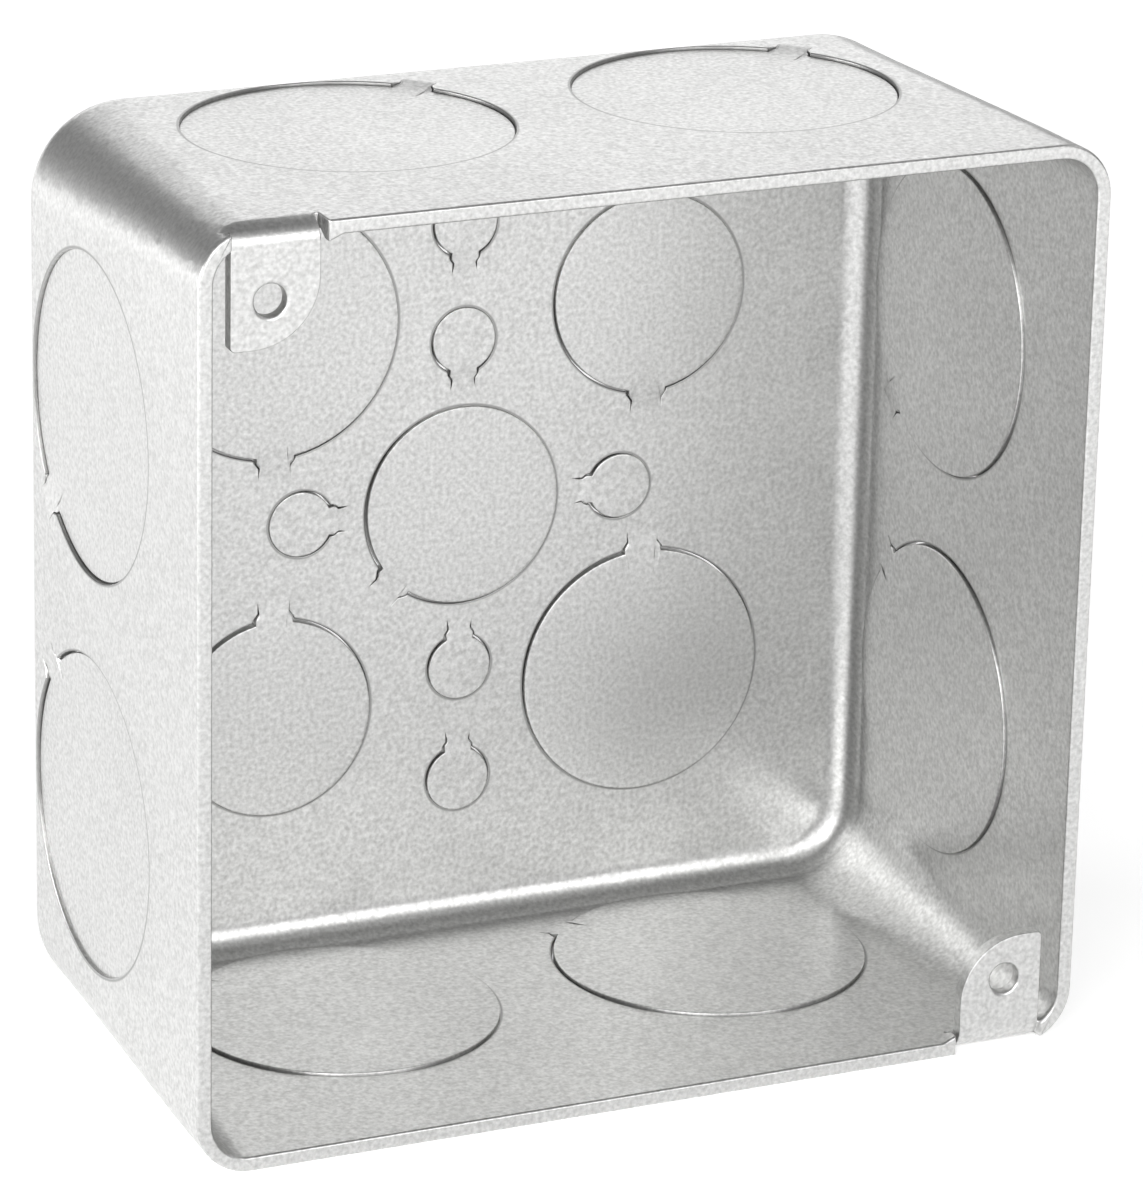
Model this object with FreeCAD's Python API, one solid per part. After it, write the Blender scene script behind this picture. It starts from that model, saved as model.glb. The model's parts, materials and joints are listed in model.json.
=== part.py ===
"""Square electrical junction box, 4 inches across and 2-1/8 inches deep.

One sheet of galvanised steel is drawn into an open box: a flat back, four walls with rounded corners, and two
ears folded in from the rim that take the cover screws. Nineteen knockouts are sheared into the walls and the
back. Each is a slug of the same sheet, struck slightly inwards and held by one narrow tie, which bends like a
hinge when the knockout is opened.

Axes: +X to the right, +Z up, and the box opens towards -Y. The origin is the centre of the back's outer face.
All lengths are in millimetres.
"""

import FreeCAD, Part
import math
import os

V = FreeCAD.Vector

# The sheet and the drawn box
SHEET = 1.6
SIDE = 101.6
DEPTH = 53.975
RIM_CORNER_INSIDE = 4.4
BACK_CORNER_INSIDE = 8.9
BACK_FILLET_INSIDE = 3.4

# The two cover ears
COVER_SCREW_PITCH = 85.8
EAR_SCREW_RADIUS = 1.73
EAR_BELOW_RIM = 0.6
EAR_END = 5.0
EAR_OUTER_SIDE = 4.3
EAR_INNER_SIDE = 5.3
EAR_CORNER_RADIUS = 7.2
EAR_SMALL_CORNER = 0.6
EAR_BEND_INSIDE = 0.9
EAR_DIMPLE_RADIUS = 2.2
EAR_DIMPLE_DEPTH = 0.25
RELIEF_WIDTH = 0.6
LIP_LENGTH = 1.6
LIP_RISE = 0.7
LIP_DEPTH = 2.4

# Knockouts: where they are
WALL_KNOCKOUT_PITCH = 44.4
WALL_KNOCKOUT_FROM_BACK = 22.0
BACK_KNOCKOUT_PITCH = 44.4
SCREW_KNOCKOUT_NEAR = 19.05
SCREW_KNOCKOUT_FAR = 32.4

# Knockouts: diameters of the slugs
WALL_KNOCKOUT = 34.6
LARGE_BACK_KNOCKOUT = 28.3
SMALL_BACK_KNOCKOUT = 22.5
SCREW_KNOCKOUT = 7.14

# Ties and shear gaps
CUT_GAP = 0.2
HOLE_SHIFT = 0.1
SWING_ROOM = 0.35
TIE_END_GAP = 0.04
STRUCK_IN = 0.35
SCREW_STRUCK_IN = 0.2
TIE_WIDTH = 3.2
TIE_ROOT_WIDTH = 4.4
TIE_LENGTH = 1.6
SCREW_TIE_WIDTH = 2.4
SCREW_TIE_ROOT_WIDTH = 3.2
SCREW_TIE_LENGTH = 1.3

# What follows from the sizes above
HALF = SIDE / 2
INSIDE = HALF - SHEET
TIE_AXIS_DEPTH = SHEET / 2
EAR_HOLE = COVER_SCREW_PITCH / 2
EAR_FACE_Y = -DEPTH + EAR_BELOW_RIM
EAR_BEND_OUTSIDE = EAR_BEND_INSIDE + SHEET
OVERRUN = 5.0

X = V(1, 0, 0)
Y = V(0, 1, 0)
Z = V(0, 0, 1)

# Each wall: a point on its outer face, its outward normal, and the direction along it
WALLS = {
    "top": (V(0, 0, HALF), Z, X),
    "bottom": (V(0, 0, -HALF), -Z, X),
    "left": (V(-HALF, 0, 0), -X, Z),
    "right": (V(HALF, 0, 0), X, Z),
}


def rounded_block(half, rim_radius, back_radius, fillet_radius, y_back, y_rim):
    """A square block whose four long edges round off more and more towards the back, with a filleted back."""
    block = Part.makeBox(2 * half, y_back - y_rim, 2 * half, V(-half, y_rim, -half))
    long_edges = [e for e in block.Edges if e.BoundBox.YLength > (y_back - y_rim) / 2]
    block = block.makeFillet(rim_radius, back_radius, long_edges)
    back_edges = [e for e in block.Edges if e.BoundBox.YMin > y_back - 1e-6]
    return block.makeFillet(fillet_radius, back_edges)


def drawn_block(grow):
    """The block inside the sheet, or with grow equal to the sheet's thickness the one outside it."""
    taper = (BACK_CORNER_INSIDE - RIM_CORNER_INSIDE) / (DEPTH - SHEET)
    overrun = 0 if grow else OVERRUN
    rim_radius = RIM_CORNER_INSIDE + grow - taper * overrun
    return rounded_block(
        INSIDE + grow,
        rim_radius,
        BACK_CORNER_INSIDE + grow,
        BACK_FILLET_INSIDE + grow,
        -SHEET + grow,
        -DEPTH - overrun,
    )


def prism(points, direction):
    """A solid made by sweeping a flat polygon along a direction."""
    loop = Part.makePolygon(points + [points[0]])
    return Part.Face(loop).extrude(direction)


def ear_plate():
    """The flat of the lower right ear, seen from the front: straight sides and one large round corner."""
    outer = EAR_HOLE + EAR_OUTER_SIDE
    inner = EAR_HOLE - EAR_INNER_SIDE
    end = -EAR_HOLE + EAR_END
    root = -HALF + EAR_BEND_OUTSIDE
    round_middle = V(inner + EAR_CORNER_RADIUS, EAR_FACE_Y, end - EAR_CORNER_RADIUS)
    reach = EAR_CORNER_RADIUS * math.sqrt(0.5)
    small_middle = V(outer - EAR_SMALL_CORNER, EAR_FACE_Y, end - EAR_SMALL_CORNER)
    small_reach = EAR_SMALL_CORNER * math.sqrt(0.5)
    p = [
        V(outer, EAR_FACE_Y, root),
        V(outer, EAR_FACE_Y, end - EAR_SMALL_CORNER),
        V(outer - EAR_SMALL_CORNER, EAR_FACE_Y, end),
        V(inner + EAR_CORNER_RADIUS, EAR_FACE_Y, end),
        V(inner, EAR_FACE_Y, end - EAR_CORNER_RADIUS),
        V(inner, EAR_FACE_Y, root),
    ]
    edges = [
        Part.LineSegment(p[0], p[1]),
        Part.Arc(p[1], small_middle + V(small_reach, 0, small_reach), p[2]),
        Part.LineSegment(p[2], p[3]),
        Part.Arc(p[3], round_middle + V(-reach, 0, reach), p[4]),
        Part.LineSegment(p[4], p[5]),
        Part.LineSegment(p[5], p[0]),
    ]
    outline = Part.Wire([edge.toShape() for edge in edges])
    return Part.Face(outline).extrude(V(0, SHEET, 0))


def ear_bend():
    """The quarter bend that joins the lower right ear to the bottom wall."""
    left = EAR_HOLE - EAR_INNER_SIDE
    width = EAR_INNER_SIDE + EAR_OUTER_SIDE
    centre = V(left, EAR_FACE_Y + EAR_BEND_OUTSIDE, -HALF + EAR_BEND_OUTSIDE)
    ring = Part.makeCylinder(EAR_BEND_OUTSIDE, width, centre, X)
    ring = ring.cut(Part.makeCylinder(EAR_BEND_INSIDE, width, centre, X))
    quarter = Part.makeBox(width, EAR_BEND_OUTSIDE, EAR_BEND_OUTSIDE)
    quarter.translate(centre - V(0, EAR_BEND_OUTSIDE, EAR_BEND_OUTSIDE))
    return ring.common(quarter)


def ear_window():
    """What the fold takes out of the bottom wall's rim: the ear's width and the relief cut beside it."""
    width = EAR_INNER_SIDE + EAR_OUTER_SIDE + RELIEF_WIDTH
    height = EAR_BELOW_RIM + EAR_BEND_OUTSIDE
    window = Part.makeBox(width, height + OVERRUN, EAR_BEND_OUTSIDE + OVERRUN)
    window.translate(V(EAR_HOLE + EAR_OUTER_SIDE - width, -DEPTH - OVERRUN, -HALF - OVERRUN))
    return window


def rim_lip():
    """The end of the rim beside the relief cut, dragged a little inwards when the ear was sheared."""
    end = EAR_HOLE - EAR_INNER_SIDE - RELIEF_WIDTH
    top = -INSIDE
    foot = [
        V(end - LIP_LENGTH, -DEPTH, top),
        V(end, -DEPTH, top - SHEET / 2),
        V(end, -DEPTH, top + LIP_RISE),
    ]
    wedge = prism(foot, V(0, LIP_DEPTH, 0))
    back_cut = [
        V(end - LIP_LENGTH, -DEPTH + LIP_DEPTH, top + LIP_RISE),
        V(end - LIP_LENGTH, -DEPTH + LIP_DEPTH, top),
        V(end - LIP_LENGTH, -DEPTH + LIP_DEPTH / 2, top + LIP_RISE),
    ]
    return wedge.cut(prism(back_cut, V(LIP_LENGTH + OVERRUN, 0, 0)))


def ear_hole():
    """The tapped hole through the lower right ear, with the shallow ring that tapping leaves on its face."""
    start = V(EAR_HOLE, EAR_FACE_Y - OVERRUN, -EAR_HOLE)
    hole = Part.makeCylinder(EAR_SCREW_RADIUS, 2 * OVERRUN + SHEET, start, Y)
    ring_start = V(EAR_HOLE, EAR_FACE_Y, -EAR_HOLE)
    ring = Part.makeCone(EAR_DIMPLE_RADIUS, EAR_SCREW_RADIUS, EAR_DIMPLE_DEPTH, ring_start, Y)
    return hole.fuse(ring)


def turned_half(shape):
    """The same shape half a turn round the box's own axis, so that one ear gives the other."""
    copy = shape.copy()
    copy.rotate(V(0, 0, 0), Y, 180)
    return copy


class Knockout:
    """One slug, its tie and its hole, in a frame of the wall it lies in.

    centre is on the wall's outer face, out points away from the box, and tie points along the wall from the
    slug's centre to its tie.
    """

    def __init__(self, name, centre, out, tie, diameter, struck_in, tie_sizes):
        self.name = name
        self.centre = centre
        self.out = out
        self.tie = tie
        self.across = out.cross(tie)
        self.radius = diameter / 2
        self.struck_in = struck_in
        self.width, self.root_width, self.length = tie_sizes
        self.axis_at = self.radius + self.length

    def at(self, along, across, depth):
        """A point: along the tie, across it, and depth into the sheet from its outer face."""
        return self.centre + self.tie * along + self.across * across - self.out * depth

    def pivot(self):
        """The middle of the tie's bend line, halfway through the sheet."""
        return self.at(self.axis_at, 0, TIE_AXIS_DEPTH)

    def hinge_axis(self):
        """The bend line's direction; a positive turn about it swings the slug into the box."""
        return -self.across

    def plan(self, gap, room, end, top, bottom):
        """The tie seen from outside: straight at its end, then flared to meet the slug.

        gap widens it all round, and room moves the flare towards the bend line.
        """
        half_end = self.width / 2 + gap
        half_root = self.root_width / 2 + gap
        flare_start = self.axis_at - SHEET / 2 + room
        flare_end = self.radius + room
        inward = self.radius - self.root_width / 2
        points = [
            (end, -half_end),
            (end, half_end),
            (flare_start, half_end),
            (flare_end, half_root),
            (inward, half_root),
            (inward, -half_root),
            (flare_end, -half_root),
            (flare_start, -half_end),
        ]
        corners = [self.at(a, c, top) for a, c in points]
        return prism(corners, self.out * (top - bottom))

    def slug(self):
        """The disc, struck in, and the tie that ramps down to it and ends in a round over the bend line."""
        disc = Part.makeCylinder(self.radius, SHEET, self.at(0, 0, self.struck_in + SHEET), self.out)
        ramp_end = self.axis_at - SHEET / 2
        inward = self.radius - self.root_width / 2
        steps = [
            (self.axis_at, 0),
            (ramp_end, 0),
            (self.radius, self.struck_in),
            (inward, self.struck_in),
            (inward, self.struck_in + SHEET),
            (self.radius, self.struck_in + SHEET),
            (ramp_end, SHEET),
            (self.axis_at, SHEET),
        ]
        side = [self.at(a, -self.root_width, d) for a, d in steps]
        ramp = prism(side, self.across * (2 * self.root_width))
        ramp = ramp.common(self.plan(0, 0, self.axis_at, -OVERRUN, SHEET + OVERRUN))
        bend = Part.makeCylinder(
            SHEET / 2, self.width, self.at(self.axis_at, -self.width / 2, TIE_AXIS_DEPTH), self.across
        )
        return disc.fuse([ramp, bend]).removeSplitter()

    def hole(self):
        """What the shear cuts out of the wall: the slug's outline, with a gap that is widest beside the tie."""
        depth = 2 * OVERRUN + SHEET
        start = self.at(HOLE_SHIFT, 0, SHEET + OVERRUN)
        disc = Part.makeCylinder(self.radius + CUT_GAP, depth, start, self.out)
        end = self.axis_at + SHEET / 2 + TIE_END_GAP
        return disc.fuse(self.plan(CUT_GAP, SWING_ROOM, end, -OVERRUN, SHEET + OVERRUN))


def knockouts():
    """All nineteen knockouts, each with the tie on the side where the box has it."""
    found = []
    big_tie = (TIE_WIDTH, TIE_ROOT_WIDTH, TIE_LENGTH)
    screw_tie = (SCREW_TIE_WIDTH, SCREW_TIE_ROOT_WIDTH, SCREW_TIE_LENGTH)
    slant = math.sqrt(0.5)

    # Two on each wall. The sign is the end of the wall that the tie leans to; all lean to the back.
    wall_ties = {
        ("top", -1): 1,
        ("top", 1): 1,
        ("left", 1): -1,
        ("left", -1): 1,
        ("bottom", 1): -1,
        ("bottom", -1): -1,
        ("right", 1): -1,
        ("right", -1): 1,
    }
    ends = {"top": ("left", "right"), "bottom": ("left", "right")}
    for (wall, side), lean in wall_ties.items():
        middle, out, along = WALLS[wall]
        centre = middle + along * (side * WALL_KNOCKOUT_PITCH / 2) - Y * WALL_KNOCKOUT_FROM_BACK
        tie = (along * lean + Y) * slant
        end = ends.get(wall, ("lower", "upper"))[0 if side < 0 else 1]
        name = f"{wall}_{end}_knockout"
        found.append(Knockout(name, centre, out, tie, WALL_KNOCKOUT, STRUCK_IN, big_tie))

    # Five large ones in the back: right or left, up or down, diameter and the tie's direction
    back = {
        "back_upper_left_knockout": (-1, 1, LARGE_BACK_KNOCKOUT, -Z),
        "back_upper_right_knockout": (1, 1, SMALL_BACK_KNOCKOUT, -Z),
        "back_lower_left_knockout": (-1, -1, SMALL_BACK_KNOCKOUT, Z),
        "back_lower_right_knockout": (1, -1, LARGE_BACK_KNOCKOUT, Z),
        "back_centre_knockout": (0, 0, SMALL_BACK_KNOCKOUT, (X + Z) * -slant),
    }
    for name, (right, up, diameter, tie) in back.items():
        centre = (X * right + Z * up) * (BACK_KNOCKOUT_PITCH / 2)
        found.append(Knockout(name, centre, Y, tie, diameter, STRUCK_IN, big_tie))

    # Six small ones for mounting screws, with their ties towards the middle of the back
    screws = {
        "top_screw_knockout": Z * SCREW_KNOCKOUT_FAR,
        "upper_screw_knockout": Z * SCREW_KNOCKOUT_NEAR,
        "lower_screw_knockout": -Z * SCREW_KNOCKOUT_NEAR,
        "bottom_screw_knockout": -Z * SCREW_KNOCKOUT_FAR,
        "left_screw_knockout": -X * SCREW_KNOCKOUT_NEAR,
        "right_screw_knockout": X * SCREW_KNOCKOUT_NEAR,
    }
    for name, centre in screws.items():
        tie = centre * (-1 / centre.Length)
        found.append(Knockout(name, centre, Y, tie, SCREW_KNOCKOUT, SCREW_STRUCK_IN, screw_tie))
    return found


def box_shell(cuts):
    """The drawn box with its two folded ears and every knockout's hole."""
    outside = drawn_block(SHEET)
    shell = outside.cut(drawn_block(0))
    ear = ear_plate().fuse(ear_bend()).cut(ear_hole())
    ear = ear.common(outside)
    window = ear_window()
    lip = rim_lip()
    shell = shell.cut([window, turned_half(window)])
    shell = shell.fuse([ear, turned_half(ear), lip, turned_half(lip)])
    return shell.cut([cut.hole() for cut in cuts]).removeSplitter()


def main():
    """Write one file for the shell and one for each slug."""
    os.makedirs("parts", exist_ok=True)
    cuts = knockouts()
    pieces = {"box_shell": box_shell(cuts)}
    for cut in cuts:
        pieces[cut.name] = cut.slug()
    for name, shape in pieces.items():
        solids = shape.Solids
        print(name, "solids", len(solids), "valid", shape.isValid(), "volume", round(shape.Volume, 2))
        if len(solids) == 1:
            shape = solids[0]
        shape.exportStep(f"parts/{name}.step")
    return cuts, pieces


main()
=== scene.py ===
# %% [markdown]
# # A square electrical junction box of galvanised sheet steel
#
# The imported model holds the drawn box, its two folded ears and its nineteen knockout slugs, each with its
# place and its hinge. The scene gives them their real finish: zinc-coated sheet that was drawn, sheared
# and handled. We start by loading that model, and we keep the box it fills, because the dressed model may not
# grow out of it.

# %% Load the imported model
import json
import math

import bmesh
import bpy
import numpy as np
from mathutils import Matrix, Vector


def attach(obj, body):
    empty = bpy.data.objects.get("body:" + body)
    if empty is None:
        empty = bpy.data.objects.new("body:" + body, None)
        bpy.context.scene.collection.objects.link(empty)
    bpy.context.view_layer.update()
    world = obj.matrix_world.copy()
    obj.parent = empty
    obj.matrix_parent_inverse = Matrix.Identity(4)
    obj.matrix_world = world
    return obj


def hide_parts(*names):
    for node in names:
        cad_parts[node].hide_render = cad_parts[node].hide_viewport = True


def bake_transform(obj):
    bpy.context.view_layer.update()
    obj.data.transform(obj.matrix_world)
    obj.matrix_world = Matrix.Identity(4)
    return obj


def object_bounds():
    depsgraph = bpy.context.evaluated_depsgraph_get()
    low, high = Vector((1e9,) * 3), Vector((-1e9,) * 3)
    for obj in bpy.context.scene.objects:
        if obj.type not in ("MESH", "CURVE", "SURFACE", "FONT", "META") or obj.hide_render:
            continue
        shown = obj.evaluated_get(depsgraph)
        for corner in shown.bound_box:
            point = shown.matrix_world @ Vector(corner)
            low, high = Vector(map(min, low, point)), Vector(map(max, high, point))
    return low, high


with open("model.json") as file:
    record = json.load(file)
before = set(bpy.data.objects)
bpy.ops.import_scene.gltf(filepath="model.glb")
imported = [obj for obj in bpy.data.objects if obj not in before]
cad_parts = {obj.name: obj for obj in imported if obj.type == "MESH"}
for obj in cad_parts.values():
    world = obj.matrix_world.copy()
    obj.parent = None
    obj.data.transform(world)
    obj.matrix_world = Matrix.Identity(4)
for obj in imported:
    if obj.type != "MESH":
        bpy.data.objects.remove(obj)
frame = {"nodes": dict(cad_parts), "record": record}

MM = 0.001
cad_box = [list(corner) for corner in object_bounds()]
print("nodes:", len(frame["nodes"]), "box in mm:", np.round(np.array(cad_box) / MM, 2).tolist())

# %% [markdown]
# ## The camera
#
# The photograph looks down into the open box from its left, 0.7 m away, through a long lens. The numbers
# come from fitting the rim, silhouette and knockouts to the known 4 inch box. A camera looks along its own
# -Z axis, so its matrix has the right, up and backward directions as columns.

# %% Place the camera
CAMERA_PLACE = np.array([-0.259016, -0.606509, 0.224538])
CAMERA_RIGHT = np.array([0.91449, -0.40409, 0.02065])
CAMERA_FORWARD = np.array([0.38689, 0.85836, -0.33694])
LENS_MM = 188.39

forward = CAMERA_FORWARD / np.linalg.norm(CAMERA_FORWARD)
right = CAMERA_RIGHT - forward * (CAMERA_RIGHT @ forward)
right /= np.linalg.norm(right)
up = np.cross(right, forward)
placement = np.eye(4)
placement[:3] = np.column_stack([right, up, -forward, CAMERA_PLACE])

camera_data = bpy.data.cameras.new("camera")
camera_data.sensor_width = 36.0
camera_data.lens = LENS_MM
camera_data.clip_start, camera_data.clip_end = 0.01, 20.0
camera = bpy.data.objects.new("camera", camera_data)
bpy.context.scene.collection.objects.link(camera)
camera.matrix_world = Matrix(placement.tolist())
bpy.context.scene.camera = camera
print("camera distance in mm:", round(float(np.linalg.norm(CAMERA_PLACE)) / MM))

# %% [markdown]
# ## Two small helpers for materials
#
# A colour is written as the hex value that a screen shows, but a shader works with light. So one function
# turns sRGB into linear values. The other adds a node, sets its sockets and links its inputs, which keeps each
# material down to a list of what it does.

# %% Helpers for colours and nodes
def linear(hex_colour):
    """sRGB hex to linear RGBA: each channel c is c/12.92 near black, and ((c + 0.055)/1.055)**2.4 above it."""
    channels = [int(hex_colour[i : i + 2], 16) / 255 for i in (1, 3, 5)]
    return [c / 12.92 if c <= 0.04045 else ((c + 0.055) / 1.055) ** 2.4 for c in channels] + [1.0]


def add(tree, kind, inputs=None, **settings):
    """Add a node of a kind. An input is given a value, or an output socket of another node to link."""
    node = tree.nodes.new(kind)
    for name, value in settings.items():
        setattr(node, name, value)
    for name, value in (inputs or {}).items():
        if isinstance(value, bpy.types.NodeSocket):
            tree.links.new(value, node.inputs[name])
        else:
            node.inputs[name].default_value = value
    return node


print("mid grey:", [round(c, 3) for c in linear("#808080")])

# %% [markdown]
# ## Galvanised sheet
#
# The box is cold-rolled steel with a thin coat of hot-dip zinc, drawn in a press. Zinc is a neutral light
# grey. On a thin coat its crystals are so small that they only show as a fine grain, tenths of a millimetre
# across, with faint clouds a few centimetres wide where the coat is a little duller. So the metal is satin: it
# mirrors nothing sharply, but it shows long soft highlights along its folds.
#
# A thin grey line is painted round each sheared hole, on the flat sheet just outside its rounded edge: painted
# shade that stands in for the dark slit of the cut. The holes of the four side walls sit alike, so u = min(|x|,
# |z|) and v = y fold all eight onto one circle.
#
# All is read from Object coordinates in metres, so a pattern of 0.5 mm is a noise scale of 1 / 0.0005. The
# tone runs from 0, dull, to 1, light. It is 1.3 grain + 0.2 cloud + a middle that brings it to 0.5.

# %% Galvanised steel material
ZINC_LIGHT = "#E6E6E5"
ZINC_DULL = "#ACACAB"
ZINC_ROUGHNESS = 0.35
ROUGHNESS_SPREAD = 0.03
GRAIN_MM = 0.50
CLOUD_MM = 26.0
GRAIN_SHARE = 1.3
CLOUD_SHARE = 0.2
GRAIN_HEIGHT_MM = 0.02
GRAIN_STRENGTH = 0.8
# Painted shade: a grey line on the sheet just outside each hole stands in for the dark slit of the cut.
SLIT_SHADE_COLOUR = "#9A9A99"
SLIT_SHADE_MM = (0.05, 0.22)
HOLE_ROOM_MM = 0.36
EARS_BACK_MM = -42.0

holes = {mount["name"]: mount for mount in frame["record"]["mounts"] if mount["name"].endswith("_hole")}


def painted_slit_shade(tree, place):
    """A factor of 1 along each hole's edge: it falls with | distance to the hole's axis - the line's radius |.

    The line is painted shade that stands in for the slit's dark gap. Its radius is the hole's and a little room.
    In front, where the ears are, the factor is 0.
    """
    axes = add(tree, "ShaderNodeSeparateXYZ", {"Vector": place})
    across = add(tree, "ShaderNodeMath", {0: axes.outputs["X"]}, operation="ABSOLUTE")
    upright = add(tree, "ShaderNodeMath", {0: axes.outputs["Z"]}, operation="ABSOLUTE")
    folded = add(tree, "ShaderNodeMath", {0: across.outputs[0], 1: upright.outputs[0]}, operation="MINIMUM")
    side = add(tree, "ShaderNodeCombineXYZ", {"X": folded.outputs[0], "Y": axes.outputs["Y"]})
    back = add(tree, "ShaderNodeCombineXYZ", {"X": axes.outputs["X"], "Z": axes.outputs["Z"]})
    one = holes["top_right_hole"]
    circles = [(side, (one["pos_m"][0], one["pos_m"][1], 0.0), one["dims"]["r_mm"])]
    circles += [(back, hole["pos_m"], hole["dims"]["r_mm"]) for hole in holes.values() if hole["axis"][1] > 0.5]
    nearest = None
    for flat, centre, radius in circles:
        far = add(tree, "ShaderNodeVectorMath", {0: flat.outputs[0], 1: centre}, operation="DISTANCE")
        line_radius = (radius + HOLE_ROOM_MM) * MM
        off = add(tree, "ShaderNodeMath", {0: far.outputs["Value"], 1: line_radius}, operation="SUBTRACT")
        off = add(tree, "ShaderNodeMath", {0: off.outputs[0]}, operation="ABSOLUTE")
        nearest = off if nearest is None else add(
            tree, "ShaderNodeMath", {0: off.outputs[0], 1: nearest.outputs[0]}, operation="MINIMUM"
        )
    line = add(
        tree,
        "ShaderNodeMapRange",
        {
            "Value": nearest.outputs[0],
            "From Min": SLIT_SHADE_MM[0] * MM,
            "From Max": SLIT_SHADE_MM[1] * MM,
            "To Min": 1.0,
            "To Max": 0.0,
        },
    )
    behind_ears = {0: axes.outputs["Y"], 1: EARS_BACK_MM * MM}
    in_wall = add(tree, "ShaderNodeMath", behind_ears, operation="GREATER_THAN")
    return add(tree, "ShaderNodeMath", {0: line.outputs[0], 1: in_wall.outputs[0]}, operation="MULTIPLY")


def galvanised_steel(name, slit_shaded):
    """Satin zinc: a metal whose tone follows grain and clouds, and whose grain is also its bump.

    The lighter it is, the glossier. One that is lined also has painted shade: thin grey lines round the holes,
    standing in for the dark slits of the cuts.
    """
    material = bpy.data.materials.new(name)
    material.use_nodes = True
    tree = material.node_tree
    shader = tree.nodes["Principled BSDF"]
    place = add(tree, "ShaderNodeTexCoord").outputs["Object"]
    grain = add(tree, "ShaderNodeTexNoise", {"Vector": place, "Scale": 1 / (GRAIN_MM * MM), "Detail": 2.0})
    cloud = add(tree, "ShaderNodeTexNoise", {"Vector": place, "Scale": 1 / (CLOUD_MM * MM), "Detail": 3.0})
    middle = 0.5 * (1 - GRAIN_SHARE - CLOUD_SHARE)
    clouded = {0: cloud.outputs["Fac"], 1: CLOUD_SHARE, 2: middle}
    clouds = add(tree, "ShaderNodeMath", clouded, operation="MULTIPLY_ADD")
    grained = {0: grain.outputs["Fac"], 1: GRAIN_SHARE, 2: clouds.outputs[0]}
    tone = add(tree, "ShaderNodeMath", grained, operation="MULTIPLY_ADD")
    tint = add(tree, "ShaderNodeValToRGB", {"Fac": tone.outputs[0]})
    dull_end, light_end = tint.color_ramp.elements
    dull_end.position, dull_end.color = 0.0, linear(ZINC_DULL)
    light_end.position, light_end.color = 1.0, linear(ZINC_LIGHT)
    gloss = add(
        tree,
        "ShaderNodeMapRange",
        {
            "Value": tone.outputs[0],
            "From Min": 0.2,
            "From Max": 0.8,
            "To Min": ZINC_ROUGHNESS + ROUGHNESS_SPREAD,
            "To Max": ZINC_ROUGHNESS - ROUGHNESS_SPREAD,
        },
    )
    relief = {"Height": grain.outputs["Fac"], "Strength": GRAIN_STRENGTH, "Distance": GRAIN_HEIGHT_MM * MM}
    bump = add(tree, "ShaderNodeBump", relief)
    colour = tint.outputs["Color"]
    # Painted shade: a thin grey line round each hole, mixed into the sheet's colour, stands in for the dark slit
    # of the cut.
    if slit_shaded:
        slit_shade_mix = add(tree, "ShaderNodeMix", {"Factor": painted_slit_shade(tree, place).outputs[0]}, data_type="RGBA")
        tree.links.new(colour, slit_shade_mix.inputs["A"])
        slit_shade_mix.inputs["B"].default_value = linear(SLIT_SHADE_COLOUR)
        colour = slit_shade_mix.outputs["Result"]
    tree.links.new(colour, shader.inputs["Base Color"])
    tree.links.new(gloss.outputs["Result"], shader.inputs["Roughness"])
    tree.links.new(bump.outputs["Normal"], shader.inputs["Normal"])
    shader.inputs["Metallic"].default_value = 1.0
    return material


sheet_steel = galvanised_steel("galvanised_sheet_steel", slit_shaded=True)
slug_steel = galvanised_steel("galvanised_slug_steel", slit_shaded=False)
print("materials:", sheet_steel.name, slug_steel.name)

# %% [markdown]
# ## The drawn box, with its edges as a press leaves them
#
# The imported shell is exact, but all its edges are razor sharp, and no edge of a stamped box is. The cut rim is
# tumbled round, and each sheared hole has a small rounded edge. Those roundings catch the light as thin bright
# lines. We join a copy of the shell's loose triangles, write how much each sharp edge is rounded, and let a
# Bevel modifier cut it. A Weighted Normal modifier then keeps the flat walls flat right up to the roundings.

# %% Round the shell's edges
RIM_ROUND_MM = 0.32
EDGE_ROUND_MM = 0.15
SHARP_ANGLE = math.radians(38)
FLAT_ANGLE = math.radians(0.05)
SAME_POINT_MM = 0.002
SAME_PLANE_MM = 0.01


def softened_shell(source, name):
    """A joined copy of the shell. An edge whose faces meet sharply gets a bevel weight: 1 on the rim."""
    joined = bmesh.new()
    joined.from_mesh(source.data)
    bmesh.ops.remove_doubles(joined, verts=joined.verts, dist=SAME_POINT_MM * MM)
    bmesh.ops.dissolve_limit(joined, angle_limit=FLAT_ANGLE, verts=joined.verts, edges=joined.edges)
    weight = joined.edges.layers.float.new("bevel_weight_edge")
    rim_y = cad_box[0][1]
    for edge in joined.edges:
        if len(edge.link_faces) == 2 and edge.calc_face_angle() > SHARP_ANGLE:
            on_rim = all(abs(v.co.y - rim_y) < SAME_PLANE_MM * MM for v in edge.verts)
            edge[weight] = 1.0 if on_rim else EDGE_ROUND_MM / RIM_ROUND_MM
    for face in joined.faces:
        face.smooth = True
    mesh = bpy.data.meshes.new(name)
    joined.to_mesh(mesh)
    joined.free()
    piece = bpy.data.objects.new(name, mesh)
    bpy.context.scene.collection.objects.link(piece)
    rounding = piece.modifiers.new("rounded_edges", "BEVEL")
    rounding.limit_method = "WEIGHT"
    rounding.width = RIM_ROUND_MM * MM
    rounding.segments = 3
    rounding.use_clamp_overlap = False
    rounding.miter_outer = "MITER_ARC"
    normals = piece.modifiers.new("flat_walls", "WEIGHTED_NORMAL")
    normals.weight = 100
    return piece


drawn_shell = softened_shell(frame["nodes"]["box_shell"], "drawn_shell")
drawn_shell.data.materials.append(sheet_steel)
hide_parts("box_shell")
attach(drawn_shell, "box")
print("drawn shell faces:", len(drawn_shell.data.polygons))

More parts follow.
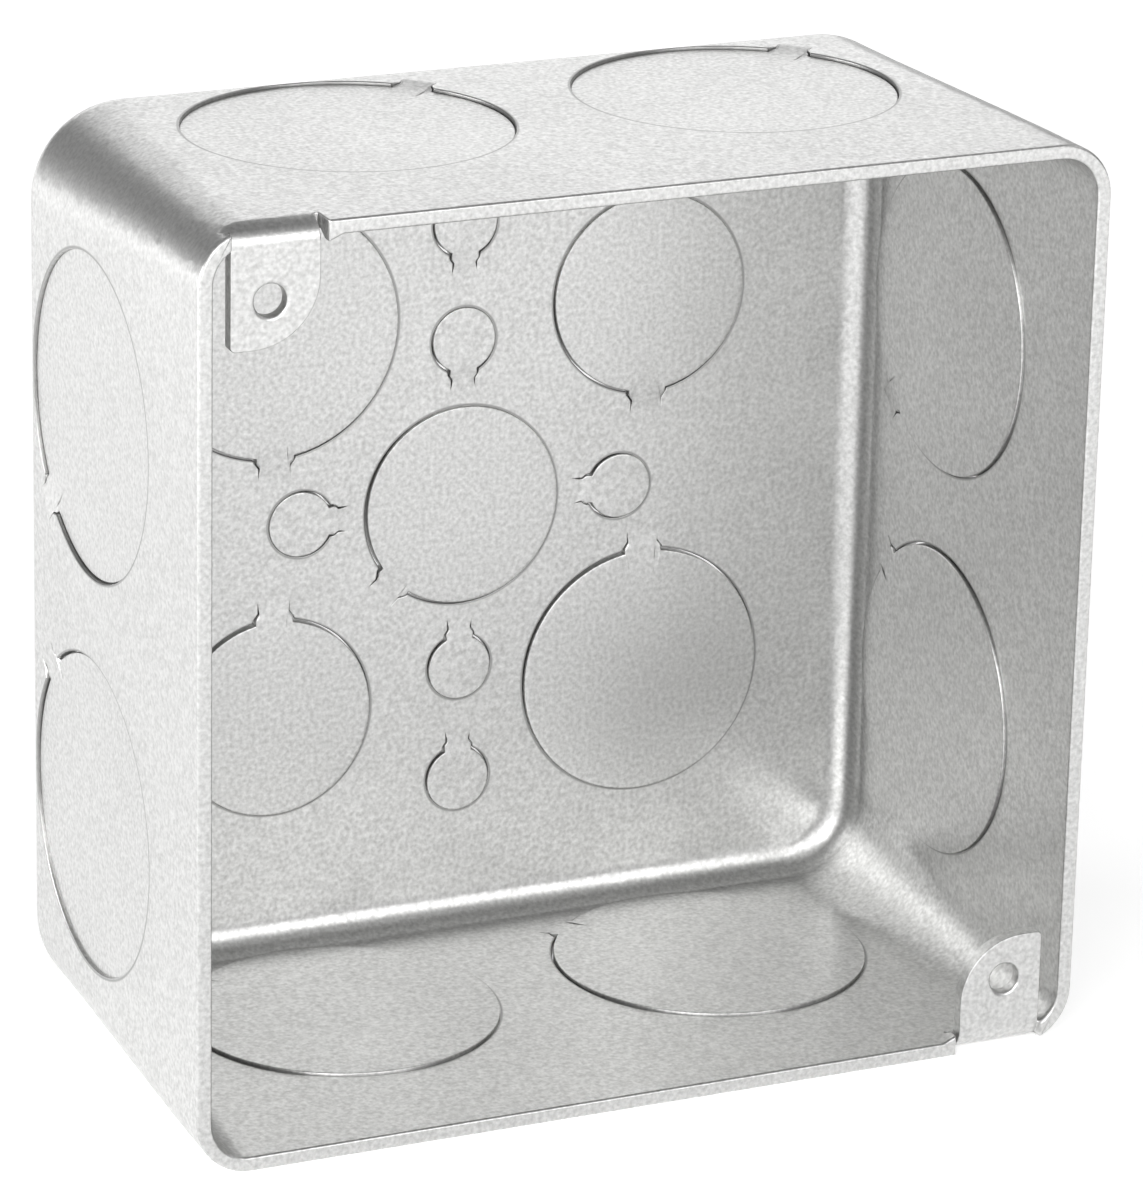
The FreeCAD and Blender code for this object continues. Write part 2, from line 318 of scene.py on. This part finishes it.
# %% [markdown]
# ## Knockout slugs and their ties
#
# A knockout is sheared all round except at one tie, where the sheet runs on from the wall to the slug.
#
# Seen from outside, the outline is a circle with a tab. Every ray from the circle's middle crosses it
# once, so a face is the outline shrunk towards the middle, ring by ring. The record gives each hole's place,
# direction and radius, and each hinge's place gives the side of the tie.
#
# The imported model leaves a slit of 0.2 mm, and sets each hole 0.1 mm away from its hinge, so that slugs swing
# freely. A real shear cut is finer, so each disc is drawn a little wider and in the middle of its hole. The
# large and the screw slugs differ in their ties' widths, and in how far the disc is struck in and
# dished.

# %% Sizes of the slugs
SHEET_MM = 1.6
SLIT_MM = 0.2
SNUG_MM = 0.16
HOLE_SHIFT_MM = 0.1
TAPER_ROOM_MM = 0.35
END_GAP_MM = 0.04
LARGE = {"struck": 0.35, "tie": 3.2, "root": 4.4, "dish": 0.10}
SCREW = {"struck": 0.2, "tie": 2.4, "root": 3.2, "dish": 0.02}
LARGEST_SCREW_RADIUS_MM = 5.0
STEP_ROOM_MM = (0.3, 0.6)
FACE_SHARES = np.array([0.06, 0.25, 0.5, 0.75, 0.9, 0.97])
EDGE_RINGS = 4
ARC_POINTS = 121
SIDE_POINTS = 12
END_POINTS = 7
CREASE_ANGLE = math.radians(50)


def slug_outline(radius, reach, tie, root, bend_at):
    """Points (along, across) round a slug and its tie, and how far each one's edge is rounded.

    The circle has one radius. The tie's half width runs level at the root, narrows in a straight line and runs
    level again; the slit beside it shrinks evenly to nothing at the end, where the rounding turns into a flare.
    """
    taper_start, taper_end = radius + TAPER_ROOM_MM, bend_at - SHEET_MM / 2 + TAPER_ROOM_MM
    opening = np.arcsin(root / 2 / radius)
    turn = np.linspace(opening, 2 * np.pi - opening, ARC_POINTS)
    arc = np.column_stack([radius * np.cos(turn), radius * np.sin(turn)])
    along = np.linspace(arc[0, 0], reach, SIDE_POINTS + 1)[1:]
    level = (along - arc[0, 0]) / (reach - arc[0, 0])
    half = np.interp(along, [taper_start, taper_end], [root / 2 + SLIT_MM, tie / 2 + SLIT_MM])
    half -= SLIT_MM * (1 - level)
    side = np.column_stack([along, half])
    end_across = np.linspace(-half[-1], half[-1], END_POINTS + 2)[1:-1]
    end = np.column_stack([np.full(END_POINTS, reach), end_across])
    outline = np.vstack([arc, side * [1, -1], end, side[::-1]])
    round_arc, flared_end = np.full(ARC_POINTS, EDGE_ROUND_MM), np.full(END_POINTS, -EDGE_ROUND_MM)
    round_side = EDGE_ROUND_MM * (1 - 2 * level**3)
    return outline, np.concatenate([round_arc, round_side, flared_end, round_side[::-1]])


def slug_rings(outline, rounding, radius, bend_at, struck, dish):
    """Rings of (along, across, depth) from the outer face's middle, over the edge, to the inner face's middle.

    A face ring is the outline times a share. An edge ring lies inside the outline by r(1 - sin t) and below the
    face by r(1 - cos t). The face's depth is 0 a little beyond the bend, and eases by 3s^2 - 2s^3 to that of the
    struck disc, a little inside its edge. The disc is dished by a parabola.
    """
    step = np.roll(outline, -1, axis=0) - np.roll(outline, 1, axis=0)
    inward = np.column_stack([-step[:, 1], step[:, 0]]) / np.linalg.norm(step, axis=1)[:, None]
    turns = np.linspace(0, np.pi / 2, EDGE_RINGS)
    insets = 1 - np.sin(turns)
    drops = EDGE_ROUND_MM * (1 - np.cos(turns))
    top = outline + inward * rounding[:, None]
    faces = FACE_SHARES[:, None, None] * top[None]
    edges = outline[None] + inward[None] * (rounding[None] * insets[:, None])[:, :, None]
    flat = np.concatenate([faces, edges])
    drop = np.concatenate([np.zeros(len(FACE_SHARES)), drops])[:, None]
    step_start, step_end = bend_at + STEP_ROOM_MM[0], radius - STEP_ROOM_MM[1]
    ease = np.clip((step_start - flat[:, :, 0]) / (step_start - step_end), 0, 1)
    from_middle = np.clip(np.hypot(flat[:, :, 0], flat[:, :, 1]) / radius, 0, 1)
    depth = struck * ease**2 * (3 - 2 * ease) + dish * (1 - from_middle**2)
    outer = np.dstack([flat, depth + drop])
    inner = np.dstack([flat, depth + SHEET_MM - drop])[::-1]
    return np.concatenate([outer, inner])


def closed_mesh(name, rings):
    """Quads between neighbouring closed rings, and a fan of triangles to a middle point at each end."""
    count, around = rings.shape[:2]
    middles = np.array([rings[0].mean(axis=0), rings[-1].mean(axis=0)])
    points = np.vstack([rings.reshape(-1, 3), middles])
    ring, place = np.meshgrid(np.arange(count - 1), np.arange(around), indexing="ij")
    here, following = ring * around + place, ring * around + (place + 1) % around
    quads = np.stack([here, here + around, following + around, following], axis=-1).reshape(-1, 4)
    first = np.arange(around)
    last = (count - 1) * around + first
    start = np.column_stack([np.full(around, count * around), first, np.roll(first, -1)])
    stop = np.column_stack([np.full(around, count * around + 1), np.roll(last, -1), last])
    mesh = bpy.data.meshes.new(name)
    mesh.from_pydata(points.tolist(), [], quads.tolist() + start.tolist() + stop.tolist())
    mesh.shade_smooth()
    mesh.set_sharp_from_angle(angle=CREASE_ANGLE)
    return mesh


# %% Make the nineteen slugs
def slug_piece(hole, joint):
    """One slug in its place: along the tie, across it, and down from the wall's outer face."""
    name = joint["child"]
    centre, out = np.array(hole["pos_m"], float), np.array(hole["axis"], float)
    radius = hole["dims"]["r_mm"] + SNUG_MM
    to_hinge = np.array(joint["pos_m"], float) - centre
    to_hinge -= out * (to_hinge @ out)
    bend_at = float(np.linalg.norm(to_hinge)) / MM + HOLE_SHIFT_MM
    tie = to_hinge / np.linalg.norm(to_hinge)
    centre = centre - tie * HOLE_SHIFT_MM * MM
    across = np.cross(out, tie)
    kind = LARGE if radius > LARGEST_SCREW_RADIUS_MM else SCREW
    reach = bend_at + SHEET_MM / 2 + END_GAP_MM
    outline, rounding = slug_outline(radius, reach, kind["tie"], kind["root"], bend_at)
    rings = slug_rings(outline, rounding, radius, bend_at, kind["struck"], kind["dish"])
    axes = np.array([tie, across, -out])
    mesh = closed_mesh(f"{name}_piece", centre + rings @ axes * MM)
    piece = bpy.data.objects.new(f"{name}_piece", mesh)
    bpy.context.scene.collection.objects.link(piece)
    piece.data.materials.append(slug_steel)
    normals = piece.modifiers.new("flat_faces", "WEIGHTED_NORMAL")
    normals.weight = 100
    normals.keep_sharp = True
    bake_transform(piece)
    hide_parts(name.replace("_slug", "_knockout"))
    return piece


joints = {joint["name"]: joint for joint in frame["record"]["behaviour"]["joints"]}
slugs = [slug_piece(holes[name.replace("_tie", "_hole")], joint) for name, joint in joints.items()]
print("slugs:", len(slugs), "faces each:", len(slugs[0].data.polygons))

# %% [markdown]
# ## Floor, background and light
#
# The box stands on a plain white sweep. The floor is a pale matt sheet. Near the box most of its
# brightness comes from the lights, so it keeps the soft shadow, and a little of its own makes it white in the
# camera and in the metal. Farther off, where the lights don't reach, its own grows until it is all of it.
#
# The world is white to the camera too. To everything else it is a dim, even room, below the soft lights.

# %% Floor
FLOOR_Z = cad_box[0][2]
FLOOR_DROP_MM = 0.02
FLOOR_SIZE = 6.0
FLOOR_CELLS = 8
FLOOR_GLOW = 0.38
GLOW_FROM = 0.3
GLOW_TO = 0.9


def floor_sheet(name, size, cells, height):
    """A flat square grid: x and y run evenly over the size, and z is the height."""
    steps = np.linspace(-size / 2, size / 2, cells + 1)
    x, y = np.meshgrid(steps, steps)
    points = np.column_stack([x.ravel(), y.ravel(), np.full(x.size, height)])
    row, column = np.meshgrid(np.arange(cells), np.arange(cells), indexing="ij")
    first = (row * (cells + 1) + column).ravel()
    above = first + cells + 1
    faces = np.column_stack([first, first + 1, above + 1, above])
    mesh = bpy.data.meshes.new(name)
    mesh.from_pydata(points.tolist(), [], faces.tolist())
    return mesh


floor_mesh = floor_sheet("floor", FLOOR_SIZE, FLOOR_CELLS, FLOOR_Z - FLOOR_DROP_MM * MM)
floor = bpy.data.objects.new("floor", floor_mesh)
bpy.context.scene.collection.objects.link(floor)
floor_paper = bpy.data.materials.new("white_paper")
floor_paper.use_nodes = True
tree = floor_paper.node_tree
paper = tree.nodes["Principled BSDF"]
paper.inputs["Base Color"].default_value = linear("#F8F8F8")
paper.inputs["Roughness"].default_value = 0.9
path = add(tree, "ShaderNodeLightPath")
straight = {0: path.outputs["Is Camera Ray"], 1: path.outputs["Is Glossy Ray"]}
seen = add(tree, "ShaderNodeMath", straight, operation="MAXIMUM")
through = {0: seen.outputs[0], 1: path.outputs["Is Transmission Ray"]}
seen = add(tree, "ShaderNodeMath", through, operation="MAXIMUM")
place = add(tree, "ShaderNodeTexCoord").outputs["Object"]
away = add(tree, "ShaderNodeVectorMath", {0: place}, operation="LENGTH")
share = add(
    tree,
    "ShaderNodeMapRange",
    {
        "Value": away.outputs["Value"],
        "From Min": GLOW_FROM,
        "From Max": GLOW_TO,
        "To Min": FLOOR_GLOW,
        "To Max": 1.0,
    },
)
glow = add(tree, "ShaderNodeMath", {0: seen.outputs[0], 1: share.outputs["Result"]}, operation="MULTIPLY")
tree.links.new(glow.outputs[0], paper.inputs["Emission Strength"])
paper.inputs["Emission Color"].default_value = [1.0, 1.0, 1.0, 1.0]
floor.data.materials.append(floor_paper)
print("floor at z in mm:", round(FLOOR_Z / MM, 2))

# %% World
ROOM_LEVEL = 0.27

world = bpy.data.worlds.new("studio")
world.use_nodes = True
bpy.context.scene.world = world
tree = world.node_tree
background = tree.nodes["Background"]
background.inputs["Color"].default_value = [1.0, 1.0, 1.0, 1.0]
path = add(tree, "ShaderNodeLightPath")
camera_ray, through_ray = path.outputs["Is Camera Ray"], path.outputs["Is Transmission Ray"]
clear = add(tree, "ShaderNodeMath", {0: camera_ray, 1: through_ray}, operation="MAXIMUM")
level = add(tree, "ShaderNodeMath", {0: clear.outputs[0], 1: ROOM_LEVEL}, operation="MAXIMUM")
tree.links.new(level.outputs[0], background.inputs["Strength"])
print("room level:", ROOM_LEVEL)

# %% Soft lights
LIGHT_DISTANCE = 1.2


def soft_light(name, azimuth, elevation, wide, high, level):
    """A soft box seen from the box under two angles, facing it, whose surface is as bright as the level says.

    Azimuth turns from straight in front towards the right. Its power is the level times its area times pi.
    """
    a, e = math.radians(azimuth), math.radians(elevation)
    towards = np.array([math.sin(a) * math.cos(e), -math.cos(a) * math.cos(e), math.sin(e)])
    side = np.array([math.cos(a), math.sin(a), 0.0])
    data = bpy.data.lights.new(name, "AREA")
    data.shape = "RECTANGLE"
    data.size = 2 * LIGHT_DISTANCE * math.tan(math.radians(wide / 2))
    data.size_y = 2 * LIGHT_DISTANCE * math.tan(math.radians(high / 2))
    data.energy = level * data.size * data.size_y * math.pi
    light = bpy.data.objects.new(name, data)
    bpy.context.scene.collection.objects.link(light)
    turn = np.eye(4)
    turn[:3] = np.column_stack([side, np.cross(towards, side), towards, towards * LIGHT_DISTANCE])
    light.matrix_world = Matrix(turn.tolist())
    return light


soft_light("front_left", -37, 23, 36, 30, 4.3)
soft_light("front", 11, 25, 34, 30, 3.0)
soft_light("front_high", -15, 42, 30, 22, 0.8)
soft_light("left_high", -80, 44, 30, 22, 1.2)
soft_light("right_high", 75, 38, 30, 24, 0.8)
soft_light("behind", 164, 17, 34, 22, 1.5)
soft_light("behind_right", 130, 38, 30, 24, 0.8)
soft_light("left_low", -108, 4, 30, 8, 31.0)

# %% [markdown]
# ## Colour view
#
# The view transform stays Standard, so a colour shows as written.

# %% Finish
bpy.context.scene.view_settings.view_transform = "Standard"
